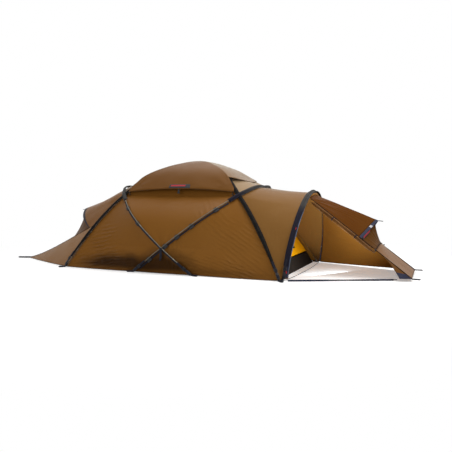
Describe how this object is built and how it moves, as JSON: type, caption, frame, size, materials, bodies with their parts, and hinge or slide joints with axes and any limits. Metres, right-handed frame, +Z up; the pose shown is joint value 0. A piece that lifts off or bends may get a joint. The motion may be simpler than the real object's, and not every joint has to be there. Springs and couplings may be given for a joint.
{
  "type": "expedition tent",
  "caption": "Geodesic expedition tent with crossing dome poles, a hooped front porch with a rolled-up door, a rear vestibule, a peak vent cap and a separate inner tent.",
  "frame": {"origin": "on the ground under the middle of the dome, on the underside of the groundsheet", "axes": "+X towards the front porch, which is the tent's long direction; +Z up; -Y is the side with the rolled-up porch door"},
  "size_m": [5.2604, 1.981, 1.3684],
  "materials": {
    "canopy": "matte coated ripstop cloth, ochre brown",
    "inner": "thin breathable cloth, yellow",
    "tub": "coated groundsheet cloth, black",
    "black_sleeve": "woven sleeve cloth, black",
    "grey_sleeve": "woven sleeve cloth, grey",
    "pole": "anodised tube, grey-olive",
    "plastic": "moulded, black",
    "webbing": "woven webbing, dark blue-grey",
    "steel": "zip slider metal"
  },
  "bodies": {
    "tent": {"clip_line_arch_front_near": "webbing", "clip_line_arch_rear_near": "webbing", "fly_roof_front": "canopy", "fly_roof_rear": "canopy", "fly_side_far": "canopy", "fly_side_near": "canopy", "fly_tunnel_side_far": "canopy", "fly_tunnel_side_near": "canopy", "foot_arch_front_far": "plastic", "foot_arch_front_near": "plastic", "foot_arch_rear_far": "plastic", "foot_arch_rear_near": "plastic", "foot_diagonal_front_far": "plastic", "foot_diagonal_front_near": "plastic", "foot_diagonal_rear_far": "plastic", "foot_diagonal_rear_near": "plastic", "foot_porch_far": "plastic", "foot_porch_near": "plastic", "hood_band_front": "webbing", "hood_band_rear": "webbing", "inner_ceiling": "inner", "inner_groundsheet_tub": "tub", "inner_wall_far": "inner", "inner_wall_front": "inner", "inner_wall_near": "inner", "inner_wall_rear": "inner", "pole_arch_front": "pole", "pole_arch_rear": "pole", "pole_diagonal_front": "pole", "pole_diagonal_rear": "pole", "pole_porch": "pole", "porch_corner_strip": "canopy", "porch_door_roll_near": "canopy", "porch_end_wall": "canopy", "porch_roof": "canopy", "rear_end_wall": "canopy", "rear_roof": "canopy", "rear_wall_far": "canopy", "rear_wall_near": "canopy", "sleeve_arch_front": "grey_sleeve", "sleeve_arch_rear": "grey_sleeve", "sleeve_diagonal_front": "black_sleeve", "sleeve_diagonal_rear": "black_sleeve", "sleeve_porch": "grey_sleeve", "vent_screen_front": "canopy", "vent_screen_rear": "canopy"},
    "roof_cap": {"roof_cap": "canopy"},
    "inner_door_front": {"inner_door_front": "inner"},
    "inner_door_rear": {"inner_door_rear": "inner"},
    "porch_door_far": {"porch_door_far": "canopy"},
    "porch_zip_slider": {"porch_zip_slider": "steel"},
    "inner_zip_slider": {"inner_zip_slider": "steel"},
    "hanging_strap_near": {"hanging_strap_near": "webbing"},
    "hanging_strap_far": {"hanging_strap_far": "webbing"},
    "ground_strap": {"ground_strap": "webbing"},
    "tension_buckle_diagonal_rear": {"tension_buckle_diagonal_rear": "plastic"},
    "tension_buckle_arch_front": {"tension_buckle_arch_front": "plastic"},
    "tension_buckle_arch_rear": {"tension_buckle_arch_rear": "plastic"},
    "tension_buckle_diagonal_front": {"tension_buckle_diagonal_front": "plastic"},
    "tension_buckle_porch": {"tension_buckle_porch": "plastic"}
  },
  "joints": [
    {"name": "roof_cap_lift", "type": "slide", "parent": "tent", "child": "roof_cap", "axis": [0, 0, 1], "range_m": [0, 0.3]},
    {"name": "inner_door_front_swing", "type": "hinge", "parent": "tent", "child": "inner_door_front", "pos_m": [0.72012, 0, 0.93153], "axis": [0, -1, 0], "range_deg": [0, 45]},
    {"name": "inner_door_rear_swing", "type": "hinge", "parent": "tent", "child": "inner_door_rear", "pos_m": [-0.71957, 0, 0.93153], "axis": [0, 1, 0], "range_deg": [0, 30]},
    {"name": "porch_door_far_swing", "type": "hinge", "parent": "tent", "child": "porch_door_far", "pos_m": [1.58057, 0.2919, 0.89423], "axis": [0.7972, 0.0585, -0.6009], "range_deg": [0, 100]},
    {"name": "porch_zip_run", "type": "slide", "parent": "tent", "child": "porch_zip_slider", "axis": [0.1162, -0.2655, 0.9571], "range_m": [0, 0.12]},
    {"name": "inner_zip_run", "type": "slide", "parent": "inner_door_front", "child": "inner_zip_slider", "axis": [-0.5684, 0.1651, 0.806], "range_m": [0, 0.2]},
    {"name": "hanging_strap_near_swing", "type": "hinge", "parent": "tent", "child": "hanging_strap_near", "pos_m": [0, -0.98975, 0.30903], "axis": [-1, 0, 0], "range_deg": [0, 80]},
    {"name": "hanging_strap_far_swing", "type": "hinge", "parent": "tent", "child": "hanging_strap_far", "pos_m": [0, 0.98975, 0.30903], "axis": [1, 0, 0], "range_deg": [0, 80]},
    {"name": "ground_strap_swing", "type": "hinge", "parent": "tent", "child": "ground_strap", "pos_m": [1.5, -0.905, 0.014], "axis": [0, 0, 1], "range_deg": [-60, 0]},
    {"name": "tension_diagonal_rear", "type": "slide", "parent": "tent", "child": "tension_buckle_diagonal_rear", "axis": [0.4571, 0.302, 0.8366], "range_m": [0, 0.04]},
    {"name": "tension_arch_front", "type": "slide", "parent": "tent", "child": "tension_buckle_arch_front", "axis": [0.788, -0.0689, 0.6118], "range_m": [0, 0.04]},
    {"name": "tension_arch_rear", "type": "slide", "parent": "tent", "child": "tension_buckle_arch_rear", "axis": [-0.788, -0.0689, 0.6118], "range_m": [0, 0.04]},
    {"name": "tension_diagonal_front", "type": "slide", "parent": "tent", "child": "tension_buckle_diagonal_front", "axis": [-0.4571, 0.302, 0.8366], "range_m": [0, 0.04]},
    {"name": "tension_porch", "type": "slide", "parent": "tent", "child": "tension_buckle_porch", "axis": [0.1184, 0.1138, 0.9864], "range_m": [0, 0.04]}
  ]
}
